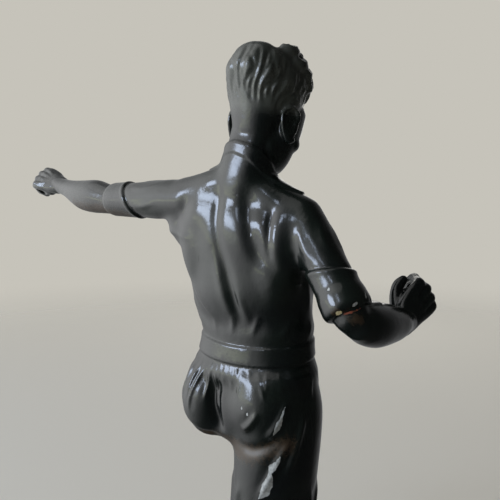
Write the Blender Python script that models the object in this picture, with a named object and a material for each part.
"""Cast metal statue of a footballer with one leg raised to kick, on a low plinth.

The figure is one cast solid. Its limbs are lofts along the bones, fused to one skin, and the clothes,
hair and face are worked into that skin with strokes, as a modeller works clay.
Lengths are in mm, and MM turns them to metres. The figure looks to -Y, its left is +X, +Z is up,
and the origin is the middle of the plinth's underside.
"""
import math

import bmesh
import bpy
import numpy as np
from mathutils import Euler, Matrix, Vector
from mathutils.bvhtree import BVHTree

MM = 0.001

# Directions of the figure
FRONT, UP = (0, -1, 0), (0, 0, 1)

# Plinth
PLINTH_WIDTH, PLINTH_DEPTH, PLINTH_HEIGHT = 200, 240, 30
PLINTH_CORNER = 16
PLINTH_FOOT, PLINTH_STEP = 9, 5
GAP = 0.3
SOLE = PLINTH_HEIGHT + GAP

# Joints of the figure, at 0.4 of a man of 1750 mm
HIP_R, KNEE_R, ANKLE_R = (-35, 14, 398), (-21, 11, 226), (-20, 21, 66)
HIP_L, KNEE_L, ANKLE_L = (36, 12, 396), (80, -122, 299), (112, -223, 172)
SHOULDER_R, ELBOW_R, WRIST_R = (-63, 22, 574), (-126, 41, 489), (-129, -53, 476)
SHOULDER_L, ELBOW_L, WRIST_L = (67, 35, 590), (197, 33, 591), (307, 33, 611)
MIDDLE = (0, 14)
EARS = (-19.5, 23, 656.5)
HEAD_TURN, HEAD_TILT, HEAD_BOW = -4, -6, 24
HEAD_SIZE, EAR_SIZE, HAND_SIZE_R, HAND_SIZE_L = 1.04, 1.1, 1.1, 1.06

# Clothes: places along a limb are shares of its bone
WAIST, BELT_WIDTH = 440, 16.5
HEM_R, HEM_L = 0.865, 0.865
CUFF_R, CUFF_L = (0.53, 0.88), (0.60, 0.905)
SOCK_TOP, SOCK_TURN = 0.13, 0.30

# Fineness of the skin, and the triangles of the finished figure
BODY_VOXEL, HEAD_VOXEL, SKIN_VOXEL = 3.0, 2.0, 2.4
FINEST_STROKE = 3.0
TRIANGLES = 9000


def unit(v):
    v = np.asarray(v, float)
    return v / np.linalg.norm(v)


def smooth_rows(rows, per):
    """Rows read from a smooth curve through the given rows."""
    rows = np.asarray(rows, float)
    if len(rows) == 2:
        return rows[0] + np.outer(np.linspace(0, 1, per + 1), rows[1] - rows[0])
    ends = np.vstack([2 * rows[0] - rows[1], rows, 2 * rows[-1] - rows[-2]])
    out = []
    for p0, p1, p2, p3 in zip(ends, ends[1:], ends[2:], ends[3:]):
        for t in np.arange(per) / per:
            linear = (p2 - p0) * t
            square = (2 * p0 - 5 * p1 + 4 * p2 - p3) * t**2
            cube = (3 * p1 - p0 - 3 * p2 + p3) * t**3
            out.append(0.5 * (2 * p1 + linear + square + cube))
    out.append(rows[-1])
    return np.array(out)


def placed(matrix, points):
    """Points given in a placing frame, in mm of the figure."""
    m = np.array(matrix)
    return np.asarray(points, float).reshape(-1, 3) @ m[:3, :3].T + m[:3, 3]


def axes_at(origin, x, y, z):
    """A placing frame from an origin in mm and three axes."""
    m = Matrix([[*row] for row in zip(unit(x), unit(y), unit(z))]).to_4x4()
    m.translation = Vector(origin)
    return m


def turned_at(origin, z=0, y=0, x=0):
    """A placing frame turned by degrees about x, then y, then z."""
    turn = Euler((math.radians(x), math.radians(y), math.radians(z))).to_matrix().to_4x4()
    return Matrix.Translation(Vector(origin)) @ turn


def hand_at(wrist, along, back_of_hand, size):
    """The frame of a hand: fingers along y, back of the hand z."""
    y = unit(along)
    z = unit(np.asarray(back_of_hand, float) - y * np.dot(back_of_hand, y))
    return axes_at(wrist, np.cross(y, z), y, z) @ Matrix.Scale(size, 4)


HEAD = turned_at(EARS, HEAD_TURN, HEAD_TILT, HEAD_BOW) @ Matrix.Scale(HEAD_SIZE, 4)
EAR = {side: turned_at((36 * side, 0, 0), 32 * side, 0, -12)
       @ Matrix.Diagonal((EAR_SIZE * side, EAR_SIZE, EAR_SIZE, 1)) for side in (1, -1)}
HAND_L = hand_at(WRIST_L, (1, 0.10, 0.27), (-0.30, 0.72, 0.62), HAND_SIZE_L)
HAND_R = hand_at(WRIST_R, (-0.28, -0.72, 0.56), (-0.81, 0.25, 0.20), HAND_SIZE_R)
BOOT_R = axes_at((ANKLE_R[0], ANKLE_R[1], SOLE + 36), (1, 0.06, 0), (-0.06, 1, 0), UP)
BOOT_L = axes_at(ANKLE_L, (0.92, 0.37, 0.1), (-0.30, 0.86, 0.40), (0.06, -0.40, 0.91))
COLLAR = turned_at((-8, 33, 626), 0, -9, 20)


class Shells:
    """Closed shells in mm, gathered before they are fused to one skin."""

    def __init__(self):
        self.points = np.empty((0, 3))
        self.faces = []

    def add(self, points, faces):
        first = len(self.points)
        self.points = np.vstack([self.points, points])
        self.faces += [[first + i for i in face] for face in faces]

    def add_placed(self, matrix, form, *args):
        """Adds what form makes in a placing frame."""
        part = Shells()
        form(part, *args)
        self.add(placed(matrix, part.points), part.faces)

    def add_object(self, ob):
        points = np.array([v.co[:] for v in ob.data.vertices]) / MM
        self.add(points, [p.vertices[:] for p in ob.data.polygons])

    def build(self, name):
        mesh = bpy.data.meshes.new(name)
        mesh.from_pydata((self.points * MM).tolist(), [], self.faces)
        bm = bmesh.new()
        bm.from_mesh(mesh)
        bmesh.ops.recalc_face_normals(bm, faces=bm.faces)
        bm.to_mesh(mesh)
        bm.free()
        ob = bpy.data.objects.new(name, mesh)
        bpy.context.scene.collection.objects.link(ob)
        return ob

    def join_rings(self, rings, sides, bottom=None, top=None):
        """Joins rings of points, closed by a point or by a flat face at each end."""
        last = len(rings) * sides
        faces = []
        for j in range(sides):
            k = (j + 1) % sides
            faces += [(i + j, i + k, i + sides + k, i + sides + j) for i in range(0, last - sides, sides)]
            if bottom is not None:
                faces.append((last, k, j))
                faces.append((last + 1, last - sides + j, last - sides + k))
        if bottom is None:
            faces += [list(range(sides))[::-1], list(range(last - sides, last))]
            self.add(np.vstack(rings), faces)
        else:
            self.add(np.vstack([*rings, bottom, top]), faces)

    def loft(self, rows, front, per=4, sides=24, square=2.0, cap=0.8):
        """A rounded skin over rows of x, y, z, half width, front depth and back depth."""
        rows = smooth_rows(rows, per)
        tangents = np.gradient(rows[:, :3], axis=0)
        across, fore = round_section(sides, square)

        def ring(row, tangent, shift=0.0, size=1.0):
            t = unit(tangent)
            side = unit(np.cross(t, unit(front)))
            depth = np.where(fore > 0, row[4], row[5])
            offsets = np.outer(across * row[3], side) + np.outer(fore * depth, np.cross(side, t))
            return row[:3] + t * shift + size * offsets

        def end(row, tangent, way):
            reach = way * min(row[3], (row[4] + row[5]) / 2) * cap
            arcs = [ring(row, tangent, reach * math.sin(a), math.cos(a)) for a in np.radians((25, 50, 75))]
            return arcs, row[:3] + unit(tangent) * reach

        low, bottom = end(rows[0], tangents[0], -1)
        high, top = end(rows[-1], tangents[-1], 1)
        middle = [ring(row, tangent) for row, tangent in zip(rows, tangents)]
        self.join_rings(low[::-1] + middle + high, sides, bottom, top)

    def limb(self, a, b, stations, front, **kw):
        """A loft along a bone, over rows of its share, half width, front depth and back depth."""
        a, b = np.asarray(a, float), np.asarray(b, float)
        self.loft([[*(a + (b - a) * t), w, f, k] for t, w, f, k in stations], front, **kw)

    def rim(self, a, b, stations, front, sides=28):
        """A sleeve end or hem round a bone, of rings square to it; the rings may turn back inside."""
        a, b = np.asarray(a, float), np.asarray(b, float)
        side = unit(np.cross(b - a, unit(front)))
        ahead = unit(np.cross(side, b - a))
        across, fore = round_section(sides)
        rings = []
        for t, w, f, k in stations:
            depth = np.where(fore > 0, f, k)
            rings.append(a + (b - a) * t + np.outer(across * w, side) + np.outer(fore * depth, ahead))
        self.join_rings(rings, sides)

    def tube(self, points, radii, per=4, sides=12):
        """A round loft through points, with a radius at each."""
        points = np.asarray(points, float)
        front = np.cross(points[-1] - points[0], (0.31, 0.53, 0.79))
        self.loft([[*p, r, r, r] for p, r in zip(points, radii)], front, per, sides, cap=0.9)

    def ball(self, centre, radii, turn=(0, 0, 0), segments=24):
        rotation = Euler([math.radians(a) for a in turn]).to_quaternion()
        place = Matrix.LocRotScale(Vector(centre), rotation, Vector(radii))
        bm = bmesh.new()
        bmesh.ops.create_uvsphere(bm, u_segments=segments, v_segments=segments // 2, radius=1, matrix=place)
        self.add([v.co[:] for v in bm.verts], [[v.index for v in f.verts] for f in bm.faces])
        bm.free()


def round_section(sides, square=2.0):
    """Shares of width and depth round a section, an ellipse at 2 and boxier above it."""
    turn = np.arange(sides) * 2 * math.pi / sides
    across = np.sign(np.cos(turn)) * np.abs(np.cos(turn)) ** (2 / square)
    fore = np.sign(np.sin(turn)) * np.abs(np.sin(turn)) ** (2 / square)
    return across, fore


def apply_modifiers(ob):
    graph = bpy.context.evaluated_depsgraph_get()
    mesh = bpy.data.meshes.new_from_object(ob.evaluated_get(graph))
    ob.modifiers.clear()
    old = ob.data
    ob.data = mesh
    bpy.data.meshes.remove(old)


def fuse(ob, voxel):
    """All closed shells of an object become one skin."""
    remesh = ob.modifiers.new("fuse", "REMESH")
    remesh.mode = "VOXEL"
    remesh.voxel_size = voxel * MM
    apply_modifiers(ob)
    return ob


def thin(ob, triangles):
    """The skin with fewer triangles, most of them where it bends."""
    ob.data.calc_loop_triangles()
    decimate = ob.modifiers.new("thin", "DECIMATE")
    decimate.ratio = min(1, triangles / len(ob.data.loop_triangles))
    decimate.use_collapse_triangulate = True
    apply_modifiers(ob)


class Clay:
    """The points of a mesh in mm, moved by softening and strokes."""

    def __init__(self, ob, finest=0.0):
        mesh = ob.data
        self.ob, self.finest = ob, finest
        self.co = np.array([v.co[:] for v in mesh.vertices]) / MM
        self.pairs = np.array([e.vertices[:] for e in mesh.edges])
        self.degree = np.maximum(np.bincount(self.pairs.ravel(), minlength=len(self.co)), 1)
        self.store()
        self.look()

    def store(self):
        """Gives the mesh its new points and reads its outward directions."""
        mesh = self.ob.data
        mesh.vertices.foreach_set("co", (self.co * MM).astype(np.float32).ravel())
        mesh.update()
        out = np.empty(self.co.size, np.float32)
        mesh.vertex_normals.foreach_get("vector", out)
        self.out = out.reshape(-1, 3).astype(float)

    def look(self):
        """Notes the skin as it is now, for finding points on it."""
        faces = [p.vertices[:] for p in self.ob.data.polygons]
        self.skin = BVHTree.FromPolygons(self.co.tolist(), faces)

    def soften(self, passes, weight=1.0):
        """Averages each point with its neighbours; weight is one number or one for each point."""
        w = 0.5 * np.broadcast_to(np.reshape(weight, (-1, 1)), (len(self.co), 1))
        a, b = self.pairs.T
        for _ in range(passes):
            mean = np.empty_like(self.co)
            for k, values in enumerate(self.co.T):
                total = np.bincount(a, values[b], len(values)) + np.bincount(b, values[a], len(values))
                mean[:, k] = total / self.degree
            self.co += w * (mean - self.co)
        self.store()

    def near(self, centre, radii):
        """One at a place, falling to nothing at its radii."""
        d = (self.co - np.asarray(centre, float)) / radii
        return np.sqrt(np.clip(1 - (d * d).sum(1), 0, 1))

    def on_ray(self, start, way):
        hit = self.skin.ray_cast(Vector(start), Vector(unit(way)), 300)[0]
        return np.array(start if hit is None else hit, float)

    def on_torso(self, places):
        """Points of the torso's skin; degrees from the front towards its left, height."""
        return np.array([self.on_ray((*MIDDLE, z), (math.sin(a), -math.cos(a), 0))
                         for a, z in ((math.radians(turn), z) for turn, z in places)])

    def on_limb(self, a, b, front, places):
        """Points of a limb's skin; degrees from its front towards its left, share of the bone."""
        a, b = np.asarray(a, float), np.asarray(b, float)
        left = unit(np.cross(unit(front), b - a))
        ahead = unit(np.cross(b - a, left))
        out = []
        for turn, t in places:
            angle = math.radians(turn)
            out.append(self.on_ray(a + (b - a) * t, ahead * math.cos(angle) + left * math.sin(angle)))
        return np.array(out)

    def on_head(self, places):
        """Points of the head's skin; degrees from the face towards its left, degrees of rise."""
        m = np.array(HEAD)
        centre = placed(HEAD, SKULL)[0]
        return np.array([self.on_ray(centre, m[:3, :3] @ direction(turn, rise)) for turn, rise in places])

    def stroke(self, points, width, depth, ends=0.25):
        """Moves the skin out by depth along a line through the points, or in by a negative one."""
        width = max(width, self.finest)
        line = np.array([self.skin.find_nearest(Vector(p))[0] for p in smooth_rows(points, 8)])
        reach = 2.6 * width
        near = np.flatnonzero(((self.co > line.min(0) - reach) & (self.co < line.max(0) + reach)).all(1))
        if not len(near):
            return
        steps = line[1:] - line[:-1]
        lengths = np.linalg.norm(steps, axis=1) + 1e-9
        starts = np.concatenate([[0], np.cumsum(lengths)])
        best, along = np.full(len(near), 1e9), np.zeros(len(near))
        for p, s, length, start in zip(line, steps, lengths, starts):
            t = np.clip(((self.co[near] - p) @ s) / length**2, 0, 1)
            d = np.linalg.norm(self.co[near] - p - t[:, None] * s, axis=1)
            closer = d < best
            best[closer], along[closer] = d[closer], (start + t[closer] * length) / starts[-1]
        amount = np.exp(-((best / width) ** 2)) * rise(np.minimum(along, 1 - along) / max(ends, 1e-6))
        self.co[near] += self.out[near] * (depth * amount)[:, None]

    def fold(self, points, width, depth, ends=0.25):
        """A ridge of cloth with a soft hollow on each side."""
        self.stroke(points, width * 2.2, -0.45 * depth, ends)
        self.stroke(points, width, 1.35 * depth, ends)

    def dab(self, centre, radii, height):
        """Swells the skin near a place, or hollows it by a negative height."""
        d = (self.co - np.asarray(centre, float)) / radii
        self.co += self.out * (height * np.exp(-(d * d).sum(1)))[:, None]

    def lift(self, amount):
        """Moves every point out by its own amount."""
        self.co += self.out * amount[:, None]


def rise(t):
    """From 0 to 1, softly at both ends."""
    t = np.clip(t, 0, 1)
    return t * t * (3 - 2 * t)


def bump(distance, width):
    """One where a distance is nothing, falling away over a width."""
    return np.exp(-((distance / width) ** 2))


def direction(turn, rise_angle):
    """A direction from degrees round from the front and degrees up."""
    t, r = math.radians(turn), math.radians(rise_angle)
    return np.array([math.cos(r) * math.sin(t), -math.cos(r) * math.cos(t), math.sin(r)])


# Forms of the body

def torso(s):
    s.loft([(0, 12, 376, 52, 38, 42), (0, 12, 398, 65, 43, 44), (-1, 10, 420, 65, 42, 43.5),
            (-2, 9, 438, 62, 41, 42.5), (-2, 8, 456, 60, 40, 40), (-1, 9, 474, 61, 41, 38.5),
            (2, 11, 502, 66.5, 44.5, 46), (1, 12, 530, 69, 47, 46), (1, 15, 558, 70, 48, 45),
            (1, 20, 582, 63, 42, 40), (-2, 26, 600, 45, 29, 30), (-5, 31, 611, 28, 21, 21)],
           FRONT, sides=32, square=2.2)
    # slopes from the neck to the shoulders
    s.loft([(-4, 34, 607, 17, 18, 17), (20, 36, 603, 18, 19, 18), (44, 36, 598, 18, 19, 18),
            (66, 35, 593, 20, 21, 20)], FRONT, sides=20)
    s.loft([(-10, 33, 608, 18, 18, 17), (-30, 30, 594, 17, 19, 18), (-48, 25, 583, 17, 21, 19),
            (-62, 22, 575, 19, 21, 20)], FRONT, sides=20)
    # sides of the ribs, shoulder blades and chest
    for side, drop, back, long in ((1, 0, 27, 56), (-1, 9, 24.5, 62)):
        s.ball((46 * side, back, 545 - drop), (25, 30, long), (0, 10 * side, 0))
        s.ball((34 * side, 36 - drop, 574 - drop), (27, 22, 34), (0, -12 * side, 0))
        s.ball((27 * side, -12, 564 - drop / 2), (35, 22, 27))
    # cloth drawn up to the raised arm
    s.ball((70, 30, 562), (19, 20, 33), (0, 38, 0))


def hips(s):
    s.ball((-29.5, 27, 398), (38.5, 36.5, 38))
    s.ball((36.5, 27.5, 390), (32.5, 37, 42))


def shorts_legs(s):
    s.limb(HIP_R, KNEE_R, [(-0.2, 31, 32, 34), (0, 41, 41, 42), (0.2, 42.5, 42, 42), (0.45, 41, 42, 42),
                           (0.65, 41, 42, 42), (0.84, 42, 43, 43)], FRONT, sides=28, cap=0.05)
    s.limb(HIP_L, KNEE_L, [(-0.15, 28, 30, 33), (0, 36, 36, 40), (0.2, 38, 37, 40), (0.45, 39, 37, 40),
                           (0.65, 39, 36, 42), (0.84, 39, 36, 44)], UP, sides=28, cap=0.05)


def neck(s):
    s.loft([(-5, 32, 598, 24.5, 23, 23), (-9, 33, 616, 24, 23, 21.5), (-14, 30, 634, 23, 22, 21.5),
            (-17, 26, 652, 23.5, 23, 22), (-19, 23, 664, 22.5, 20, 24)], FRONT, sides=28, square=2.6)


def arms(s):
    s.limb(SHOULDER_L, ELBOW_L, [(-0.08, 21, 21, 21), (0.2, 21, 20, 20.5), (0.5, 19.5, 18.5, 20),
                                 (0.9, 17.8, 18.5, 19.5)], FRONT, cap=0.1)
    s.limb(SHOULDER_R, ELBOW_R, [(-0.05, 19, 20, 20), (0.2, 19.5, 20, 20), (0.5, 18.5, 19, 19),
                                 (0.88, 18, 18.5, 18.5)], FRONT, cap=0.1)
    for shoulder, elbow in ((SHOULDER_L, ELBOW_L), (SHOULDER_R, ELBOW_R)):
        s.limb(shoulder, elbow, [(0.5, 15, 15, 15), (0.94, 15, 15, 15)], FRONT)
    s.limb(ELBOW_L, WRIST_L, [(-0.08, 15.5, 16, 16), (0.1, 17, 18, 19), (0.25, 17.5, 19, 21.5),
                              (0.46, 16, 15, 22.5), (0.62, 14, 12, 18.5), (0.78, 12, 10, 12.5),
                              (1, 10.5, 9.5, 10)], UP)
    s.limb(ELBOW_R, WRIST_R, [(0.05, 14, 14.5, 13), (0.15, 17, 17.5, 17), (0.35, 18.5, 18.5, 20.5),
                              (0.6, 17.5, 17, 19.5), (0.8, 16, 14.5, 17), (0.92, 13.5, 12, 13),
                              (1.02, 12.5, 11.5, 11.5)], UP)


def sleeve_ends(s):
    """Sleeve ends, each with a hollow round the arm."""
    for shoulder, elbow, end, w in ((SHOULDER_L, ELBOW_L, CUFF_L[1], 17.4),
                                    (SHOULDER_R, ELBOW_R, CUFF_R[1], 18.8)):
        s.rim(shoulder, elbow, [(end - 0.3, w - 3, w - 3, w - 3), (end - 0.12, w + 0.3, w + 0.6, w + 1.2),
                                (end - 0.03, w + 0.6, w + 0.9, w + 1.6), (end, w - 0.2, w + 0.2, w + 0.8),
                                (end + 0.004, w - 1.6, w - 1.2, w - 0.8), (end - 0.03, w - 2.5, w - 2, w - 2),
                                (end - 0.035, 6, 6, 6)], FRONT)


def hems(s):
    """Hems of the shorts, each with a hollow round the knee."""
    for hip, knee, front, end, w, f, k in ((HIP_R, KNEE_R, FRONT, HEM_R, 42.5, 43.5, 43.5),
                                           (HIP_L, KNEE_L, UP, HEM_L, 39.5, 36.5, 45)):
        s.rim(hip, knee, [(end - 0.125, w - 3, f - 3, k - 3), (end - 0.065, w, f, k),
                          (end, w + 0.8, f + 0.8, k + 0.8), (end + 0.01, w - 0.4, f - 0.4, k - 0.4),
                          (end + 0.008, w - 2.6, f - 2.6, k - 2.6), (end - 0.035, w - 4.5, f - 4.5, k - 4.5),
                          (end - 0.065, w - 9, f - 9, k - 9), (end - 0.075, 8, 8, 8)], front)


# Share of the shin, half width, front depth and back depth, and which way each shin faces
SHIN = [(-0.04, 22, 23, 21), (0.06, 21, 22, 20), (0.16, 21.5, 19, 24), (0.30, 23, 18, 28),
        (0.46, 21.5, 17.5, 25.5), (0.64, 17.5, 16, 18.5), (0.82, 14, 14.5, 14.5), (0.94, 14, 14.5, 15),
        (1.05, 15, 15, 16)]
LEGS = ((HIP_R, KNEE_R, ANKLE_R, FRONT), (HIP_L, KNEE_L, ANKLE_L, (0.2, -0.5, 0.85)))


def legs(s):
    for hip, knee, ankle, front in LEGS:
        s.limb(hip, knee, [(0.5, 32, 33, 33), (0.78, 27, 28, 27), (0.92, 23.5, 25, 22),
                           (1.02, 22.5, 24, 21.5)], front)
        s.limb(knee, ankle, SHIN, front)
        s.ball(np.asarray(knee, float) + unit(front) * 9, (13.5, 14.5, 16))
        # the turned-over top of the sock
        s.rim(knee, ankle, [(SOCK_TOP, 20, 18, 21), (SOCK_TOP + 0.01, 23, 21, 25.5), (0.22, 24.2, 21, 28),
                            (SOCK_TURN - 0.01, 24.7, 20, 29.7), (SOCK_TURN, 22, 17, 27)], front)


def boot(s):
    """An ankle boot; the toe points to -y, and the sole is at z = -36."""
    s.loft([(0, 27, -20, 11, 12, 12), (0, 18, -18, 15.5, 22, 15), (0, 2, -16, 16.5, 26, 17),
            (0, -16, -19, 16.5, 22, 14.5), (-1, -36, -23, 18.5, 15, 11.5), (-2, -56, -25, 20.5, 12, 10),
            (-2, -72, -26, 18.5, 10.5, 9.5), (-1, -82, -27, 13, 8, 8)], UP, sides=28, square=2.3, cap=0.7)
    # the shaft round the ankle
    s.loft([(0, 3, -14, 15, 16, 17), (0, 3, 4, 15.5, 16.5, 17), (0, 3, 16, 16.5, 17.5, 17.5)],
           FRONT, cap=0.25)
    # the sole and its welt
    s.loft([(0, 30, -33, 11, 3.2, 3), (0, 20, -33, 15.5, 3.2, 3), (0, 0, -33, 15.5, 3.2, 3),
            (-1, -20, -33, 16.5, 3.2, 3), (-2, -45, -33, 21, 3.2, 3), (-2, -66, -33, 21.5, 3.2, 3),
            (-1, -85, -33, 14.5, 3.2, 3)], UP, sides=28, square=3.0, cap=0.6)


# Thumbs, from the wrist to the tip, in a hand's frame; each finger: place across, knuckle, radius, length
THUMB_L = ((7, 8, -5), (13, 18, -9), (16, 27, -12), (12.5, 36, -15), (6, 40, -17))
THUMB_R = ((9, 4, -5), (14.5, 12, -9), (19, 19, -11), (20.5, 25, -11), (21, 30, -10))
FINGERS = ((13, 35, 4.3, 18), (4.7, 37, 4.5, 19.5), (-3.9, 35.5, 4.3, 18.5), (-11.8, 32, 3.9, 15.5))


def hand(s, side, thumb):
    """A loosely closed hand; its thumb is towards x times side."""
    s.loft([(0, -6, 0, 11.5, 9, 8.5), (0, 4, 0, 13.5, 8.5, 8.5), (side, 14, 0, 16, 7.4, 8.5),
            (side, 26, 0.5, 17.5, 7, 7), (0.5 * side, 34, 0, 17.2, 6, 5.5)], UP, sides=20, square=2.1)
    s.ball((9 * side, 15, -5), (7.5, 11, 6.5))
    s.ball((-9 * side, 12, -5), (6, 12, 5.5))
    # the palm is closed behind the fingers
    s.ball((0, 33, -11), (15, 9, 9))
    for i, (x, y, radius, long) in enumerate(FINGERS):
        joint = np.array([x * side, y, 0.3 if i in (1, 2) else -0.5])
        path, radii = [joint.copy()], [radius + 0.5]
        # three bones, each bent further down from the back of the hand
        for bend, share, less in ((58 + 3 * i, 1, 0), (152 + 3 * i, 0.66, 0.25), (215, 0.5, 0.6)):
            a = math.radians(bend)
            bone = long * share * np.array([-0.1 * side * x / 13, math.cos(a), -math.sin(a)])
            path += [joint + bone / 2, joint + bone]
            radii += [radius - less, radius + 0.1 - less]
            joint = joint + bone
        s.tube(path, radii, per=3)
    s.tube([(x * side, y, z) for x, y, z in thumb], (6, 5.8, 5.1, 5.2, 4.1))


# Forms of the head; its frame has its origin between the ears, and the face looks to -y

SKULL = (0, 6, 22)
HAIR = (0, 8, 28)


def skull_and_jaw(s):
    s.ball((0, 4, 22), (30, 35, 33), segments=32)
    s.loft([(0, -8, 24, 28, 26.5, 20), (0, -8, 10, 29.5, 27.5, 20), (0, -8, -2, 30, 27, 20),
            (0, -9, -14, 28, 26, 18), (0, -10, -26, 23.5, 26, 16), (0, -12, -36, 16, 24, 14),
            (0, -14, -40, 10, 21, 10)], FRONT, sides=28, square=2.3, cap=0.4)
    # nose and chin
    s.loft([(0, -33, 8, 3.6, 3, 4), (0, -37.5, -3, 3.6, 3.4, 4), (0, -42.5, -11.5, 4.6, 4.6, 5)],
           FRONT, sides=16)
    s.ball((0, -32.5, -35.5), (9.5, 7, 7))
    for side in (1, -1):
        s.ball((5.2 * side, -38, -12.8), (3.7, 5, 3.6))
        s.ball((20 * side, -19, -5), (9, 11, 8))
        s.ball((19 * side, -5, -18), (6.5, 12, 11))
        s.tube([(21.5 * side, -26, 9.5), (13 * side, -32.5, 13.5), (5 * side, -34.5, 11.5)], (2.6, 3.4, 3.2))


def ear(s):
    s.ball((-1.6, 3.5, 1), (3, 7.5, 11))
    s.ball((-6, 3, 0), (6, 6.5, 9.5))
    s.tube([(0.4, -1, 1), (0.8, -2.5, 7), (1.6, 1, 12), (2, 7, 12.4), (2, 11, 7.5), (1.2, 10.2, 0.5),
            (-1.6, 6.5, -6.5), (-3.8, 2, -10), (-4.4, -1.5, -9)], (1.5, 1.7, 1.8, 2, 2, 1.9, 2, 2.8, 2.4))


def hair_mass(s):
    s.loft([(0, 6, -14, 19.5, 17, 15), (0, 8, 0, 24.5, 21, 22), (0, 8, 14, 32.5, 25, 34.5),
            (0, 8, 28, 35, 29, 45), (0, 8.5, 40, 34, 31, 45.5), (0, 9, 49, 31, 33, 42),
            (0, 9, 55, 26, 31, 34), (0, 9, 58, 18, 24, 24)], FRONT, sides=32, square=2.1, cap=0.2)
    # higher over the brow and the right of the crown
    s.ball((-8, -5, 45), (18, 15, 14.5))
    s.ball((9, -5, 44), (18, 16, 14))
    s.ball((-15, 18, 46), (15, 18, 16))


# Curls over the brow and the top: degrees round from the face, degrees of rise, start of the coil, size
CURLS = [(-36, 25, 200, 0.9), (-12, 22, 170, 1.0), (12, 21, 150, 1.05), (34, 20, 120, 1.0),
         (-60, 32, 215, 0.85), (-44, 42, 210, 0.95), (-22, 38, 190, 1.1), (2, 37, 160, 1.1),
         (26, 37, 140, 1.0), (50, 30, 120, 0.95), (-80, 42, 230, 0.95), (-48, 60, 180, 1.15),
         (-8, 58, 170, 1.1), (30, 58, 140, 1.0), (64, 48, 110, 0.9), (-104, 46, 240, 1.2),
         (72, 18, 110, 0.85), (-98, 64, 220, 1.25), (-60, 76, 200, 1.15), (60, 74, 120, 0.95),
         (-128, 52, 235, 1.2)]
CURL_REACH, CURL_SWEEP = 11, 250


def curls(s, clay):
    """Short curls, each a tapered coil that lies on the hair."""
    for turn, lift, start, size in CURLS:
        path, radii = [], []
        for share in np.linspace(0, 1, 7):
            a = math.radians(start + CURL_SWEEP * share)
            reach = CURL_REACH * size * (1 - 0.62 * share)
            way = direction(turn + reach * math.cos(a) * 1.2, lift + reach * math.sin(a))
            path.append(clay.on_ray(HAIR, way) + way * (0.2 + 2.2 * size * share))
            swell = math.sin(math.pi * min(1, 0.15 + share))
            radii.append(size * (2.5 + 2.4 * swell) * (1 - 0.3 * share))
        s.tube(path, radii, per=3)


def whole_head():
    """Head, hair and ears in the head's frame."""
    s = Shells()
    skull_and_jaw(s)
    hair_mass(s)
    skull = fuse(s.build("head"), HEAD_VOXEL)
    clay = Clay(skull)
    clay.soften(3)
    s = Shells()
    curls(s, clay)
    s.add_object(skull)
    for side in (1, -1):
        s.add_placed(EAR[side], ear)
    bpy.data.objects.remove(skull)
    return s


def rough_figure():
    """The body softened to one form, then fused with its head, legs, hands and hems."""
    s = Shells()
    for form in (torso, hips, shorts_legs, arms, neck):
        form(s)
    body = fuse(s.build("body"), BODY_VOXEL)
    clay = Clay(body)
    clay.soften(20, clay.near((0, 20, 470), (120, 120, 200)))
    head = whole_head()
    s = Shells()
    s.add_object(body)
    s.add(placed(HEAD, head.points), head.faces)
    for form in (legs, sleeve_ends, hems):
        form(s)
    s.add_placed(HAND_L, hand, 1, THUMB_L)
    s.add_placed(HAND_R, hand, -1, THUMB_R)
    s.add_placed(BOOT_R, boot)
    s.add_placed(BOOT_L, boot)
    bpy.data.objects.remove(body)
    return fuse(s.build("figure"), SKIN_VOXEL)


# Clothes and hair, worked into the skin

def waistband(clay, edge):
    """The band of the shorts; the shirt bags over it and the shorts swell under it."""
    x, y, z = clay.co.T
    low = WAIST + 3.5 * np.cos(np.arctan2(x, -(y - MIDDLE[1])))
    waist = (np.abs(x) < 80) & (z > WAIST - 40) & (z < WAIST + 60)
    inside = np.minimum(z - low, low + BELT_WIDTH - z)
    height = 1.8 * rise(inside / edge + 0.5) + 1.8 * bump(z - low - 27, 8.5) + 2.6 * bump(z - low + 12, 8.5)
    clay.lift(height * waist)
    clay.store()


# Strokes on the shirt: width, depth, and places as degrees from the front towards its left, height
BACK_HOLLOWS = (
    # the spine
    (6.5, -2.8, ((164, 612), (168, 590), (169, 570), (174, 550), (184, 526), (193, 502), (201, 482),
                 (213, 468))),
    # down the right shoulder blade and away under the arm
    (8, -2.8, ((209, 606), (213, 580), (217, 556), (224, 541), (234, 529), (247, 518))),
    (3.6, -1.7, ((237, 586), (232, 562), (231, 546), (233, 530))))
SHIRT_FOLDS = (
    # drawn from the sides to the back of the band
    (6, 1.3, ((166, 545), (173, 522), (181, 498), (188, 480), (200, 465))),
    (5, 1.2, ((196, 512), (205, 492), (218, 474))),
    (4.6, 1.5, ((120, 522), (134, 500), (150, 481), (179, 465))),
    (4.6, 1.5, ((106, 500), (114, 480), (132, 464))), (4.6, 1.3, ((262, 528), (272, 505), (282, 482))),
    # pulled from the armpit of the raised arm
    (4.4, 1.3, ((96, 566), (118, 556), (138, 552))), (4.4, 1.5, ((90, 548), (100, 522), (116, 505))),
    (4.4, 1.5, ((84, 570), (58, 560), (34, 566))), (4.4, 1.5, ((84, 556), (60, 538), (34, 528))),
    (4.4, 1.5, ((86, 542), (66, 512), (46, 492))),
    # drawn across the chest from the lowered shoulder
    (4.4, 1.4, ((282, 570), (310, 556), (334, 540))), (4.4, 1.4, ((280, 548), (306, 528), (330, 506))),
    (4.4, 1.4, ((330, 520), (344, 490), (352, 464))))


def shirt_folds(clay):
    for width, depth, places in BACK_HOLLOWS:
        clay.stroke(clay.on_torso(places), width, depth)
    for width, depth, places in SHIRT_FOLDS:
        clay.fold(clay.on_torso(places), width, depth, 0.35)
    # short tucks above the band
    for turn in range(5, 360, 30):
        lean = 14 * math.sin(turn * 1.7)
        tuck = ((turn, 461), (turn + lean / 2, 470), (turn + lean, 483 + 5 * math.sin(turn)))
        clay.fold(clay.on_torso(tuck), 3.2, 0.9, 0.45)


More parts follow.
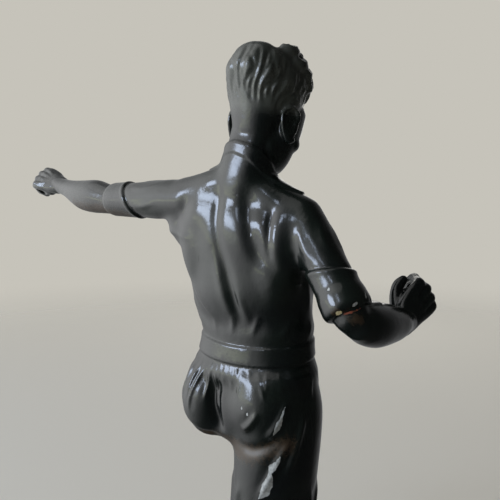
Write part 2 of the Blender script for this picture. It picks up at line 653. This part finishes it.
# Hollows and ridges of the shorts, by places in mm
SEAT_HOLLOWS = ((5.5, -4.2, ((9, 62, 424), (12, 62, 405), (12, 52, 384), (8, 40, 368))),
                (5, -2.8, ((-12, 52, 366), (-26, 56, 361), (-44, 54, 367), (-60, 44, 378))),
                (5, -2.4, ((60, 50, 372), (46, 54, 362), (28, 50, 356), (14, 44, 360))))
SEAT_RIDGES = (((-62, 40, 412), (-59, 49, 396), (-48, 55, 374)),
               ((-64, 36, 378), (-57, 45, 360), (-47, 50, 335), (-36, 52, 314)),
               ((-66, 26, 400), (-66, 34, 370), (-60, 40, 340)),
               ((-44, 60, 402), (-34, 62, 388), (-22, 60, 378)))
GATHER_SPACING = 18


def shorts_folds(clay):
    # gathers under the band
    for turn in range(0, 360, GATHER_SPACING):
        # most of the cloth is gathered over the raised leg's seat
        strong = 1.0 if 105 < turn < 168 else 0.5
        long = 20 + 8 * math.sin(turn * 1.1) + 56 * (strong - 0.5)
        lean = 5 * math.sin(turn * 2.3)
        top = WAIST - 5
        gather = ((turn, top), (turn + lean / 2, top - long / 2), (turn + lean, top - long))
        clay.fold(clay.on_torso(gather), FINEST_STROKE, 2.4 * strong, 0.3)
    for width, depth, points in SEAT_HOLLOWS:
        clay.stroke(points, width, depth)
    for points in SEAT_RIDGES:
        clay.fold(points, 3.4, 2.4)
    # creases across the bent hip
    for drop in (0, 9, 19):
        low = 404 - drop
        crease = ((14, -26 - drop, low - 4), (34, -34 - drop, low - 0.3 * drop), (58, -22 - drop, low))
        clay.stroke(crease, 3.4, -2.0)
    # long folds down each leg of the shorts
    for hip, knee, front, first, last in ((HIP_R, KNEE_R, FRONT, 0.30, HEM_R),
                                          (HIP_L, KNEE_L, UP, 0.34, HEM_L)):
        for turn in range(15, 375, 36):
            sway = 12 * math.sin(turn * 1.3)
            start = first + 0.13 * math.sin(turn * 0.7) ** 2
            way = ((turn, start), (turn + sway * 0.6, 0.6), (turn + sway, last))
            clay.fold(clay.on_limb(hip, knee, front, way), 4.8, 2.3, 0.2)


def sleeve_folds(clay):
    """Long folds down each sleeve; on the lowered arm none where it lies by the body."""
    for shoulder, elbow, turns, sway, ends in (
            (SHOULDER_L, ELBOW_L, (20, 75, 130, 190, 250, 310), 14, (0.2, 0.42, 0.58)),
            (SHOULDER_R, ELBOW_R, (190, 250, 310), -16, (0.12, 0.34, 0.5))):
        for turn in turns:
            path = zip((turn, turn + sway, turn + sway / 3), ends)
            clay.fold(clay.on_limb(shoulder, elbow, FRONT, path), 3.6, 1.0, 0.4)


def rolled_cuffs(clay, edge):
    """The turned-up band of each sleeve, deeper on the side that faces the body."""
    sleeves = ((SHOULDER_L, ELBOW_L, CUFF_L, 0.085, (0, 0.25, -1)),
               (SHOULDER_R, ELBOW_R, CUFF_R, 0.075, (0.8, 0.1, -0.4)))
    for shoulder, elbow, (start, end), slant, body_side in sleeves:
        a, bone = np.asarray(shoulder, float), np.subtract(elbow, shoulder).astype(float)
        long = np.linalg.norm(bone)
        share = (clay.co - a) @ bone / long**2
        radial = clay.co - a - np.outer(share, bone)
        radius = np.linalg.norm(radial, axis=1)
        low = start - slant * (radial @ unit(body_side)) / np.maximum(radius, 1)
        from_edge = (share - low) * long
        sleeve = (radius < 34) & (share > 0.3)
        band = rise(np.minimum(from_edge, (end + 0.02 - share) * long) / edge + 0.5)
        seam = 0.7 * bump(from_edge - 3, 2.5) * (share < end) - 0.8 * bump(from_edge, 1.6)
        clay.lift((1.6 * band + seam) * sleeve)
    clay.store()


def collar(clay, edge):
    """A soft turned-down collar that is open at the throat."""
    x, y, z = placed(COLLAR.inverted(), clay.co).T
    away = np.abs(np.degrees(np.arctan2(x, y)))
    low = np.interp(away, (0, 40, 90, 130, 152), (-1, -4, -14, -25, -38))
    high = np.interp(away, (0, 60, 110, 152), (10, 7, -2, -15))
    inside = np.minimum(np.minimum(z - low, high - z), (152 - away) * 0.5)
    neck_base = (np.hypot(x, y) < 62) & (z > -60) & (z < 25)
    leaf = np.interp(away, (30, 90), (1.4, 2.2)) * rise(inside / edge + 0.5)
    fold_line = 0.8 * bump(z - high + 3, 3) * (inside > -3)
    clay.lift((leaf + fold_line) * neck_base)
    clay.store()


LOCK_SPACING = 14


def hair_locks(clay):
    """Short wavy locks, parted by grooves, with smooth combed hair above them."""
    for i, turn in enumerate(range(66, 300, LOCK_SPACING)):
        # deepest behind the right ear
        deep = 0.55 + 0.65 * bump(turn - 222, 34)
        top = 30 + 9 * math.sin(i * 2.1)
        foot = -34 - 6 * math.sin(i * 1.3) if 95 < turn < 262 else 0
        sway = 4 * math.sin(i * 1.9)
        wave = ((turn - 5, top), (turn + 3 + sway, 0.7 * top + 0.3 * foot),
                (turn - 3, 0.35 * top + 0.65 * foot), (turn + 5 + sway, foot))
        clay.stroke(clay.on_head(wave), 3.0, -2.2 * deep, 0.3)
    # a dip between the crown and the curls
    clay.stroke(clay.on_head(((214, 30), (206, 48), (190, 68), (100, 74), (50, 62))), 4, -2.4, 0.3)


def face_and_ears(clay):
    """Sockets of the eyes, the parting of the lips and the hollows of the ears."""
    for side in (1, -1):
        for centre, radii, height in (((12.5 * side, -34, 5), (7.5, 5, 5.2), -3.0),
                                      ((4.5 * side, -35, 6), (3, 4, 4), -1.3)):
            clay.dab(placed(HEAD, centre)[0], radii, height)
        clay.dab(placed(HEAD @ EAR[side], (2.5, 4, 2))[0], (3, 3.2, 4.5), -2.2)
    lips = placed(HEAD, ((-8, -33, -21), (0, -36, -21.5), (8, -33, -21)))
    clay.stroke(lips, 1.6, -1.6, 0.3)
    clay.store()


def set_on_plinth(ob):
    """Cuts the sole of the standing boot flat, so that it rests on the plinth."""
    for v in ob.data.vertices:
        if v.co.z < (SOLE + 0.6) * MM:
            v.co.z = SOLE * MM


def figure(material):
    ob = rough_figure()
    clay = Clay(ob, FINEST_STROKE)
    clay.soften(2)
    clay.look()
    waistband(clay, SKIN_VOXEL)
    shirt_folds(clay)
    shorts_folds(clay)
    sleeve_folds(clay)
    clay.store()
    rolled_cuffs(clay, SKIN_VOXEL)
    collar(clay, SKIN_VOXEL)
    hair_locks(clay)
    face_and_ears(clay)
    thin(ob, TRIANGLES)
    set_on_plinth(ob)
    ob.data.shade_smooth()
    ob.data.materials.append(material)
    return ob


def plinth(material):
    """A low plinth: a foot, a hollow moulding and a flat top, with rounded corners."""
    hollow = PLINTH_HEIGHT - PLINTH_FOOT - 8
    profile = [(0, 0), (0, PLINTH_FOOT - 1.5), (1.5, PLINTH_FOOT)]
    # a quarter hollow that leads up from the foot to the top's edge
    for a in np.radians((15, 45, 75)):
        profile.append((1.5 + PLINTH_STEP * math.sin(a), PLINTH_FOOT + hollow * (1 - math.cos(a))))
    profile += [(1.5 + PLINTH_STEP, PLINTH_HEIGHT - 6), (1.5 + PLINTH_STEP, PLINTH_HEIGHT - 1.5),
                (3 + PLINTH_STEP, PLINTH_HEIGHT)]
    s = Shells()
    rings = []
    for inset, z in profile:
        ring = []
        radius = PLINTH_CORNER - inset
        for quarter, (x_side, y_side) in enumerate(((1, 1), (-1, 1), (-1, -1), (1, -1))):
            x = x_side * (PLINTH_WIDTH / 2 - PLINTH_CORNER)
            y = y_side * (PLINTH_DEPTH / 2 - PLINTH_CORNER)
            for a in np.radians(np.linspace(90 * quarter, 90 * quarter + 90, 7)):
                ring.append((x + radius * math.cos(a), y + radius * math.sin(a), z))
        rings.append(ring)
    s.join_rings(rings, len(rings[0]))
    ob = s.build("base")
    ob.data.shade_smooth()
    ob.data.set_sharp_from_angle(angle=math.radians(30))
    ob.data.materials.append(material)
    return ob


def enamel(name, colour, roughness):
    """Glossy stoving enamel on cast metal."""
    material = bpy.data.materials.new(name)
    material.use_nodes = True
    shader = material.node_tree.nodes["Principled BSDF"]
    shader.inputs["Base Color"].default_value = (*colour, 1)
    shader.inputs["Metallic"].default_value = 0.0
    shader.inputs["Roughness"].default_value = roughness
    return material


def main():
    for ob in list(bpy.data.objects):
        bpy.data.objects.remove(ob)
    figure(enamel("figure_enamel", (0.012, 0.017, 0.016), 0.2))
    plinth(enamel("base_enamel", (0.010, 0.014, 0.013), 0.25))


main()
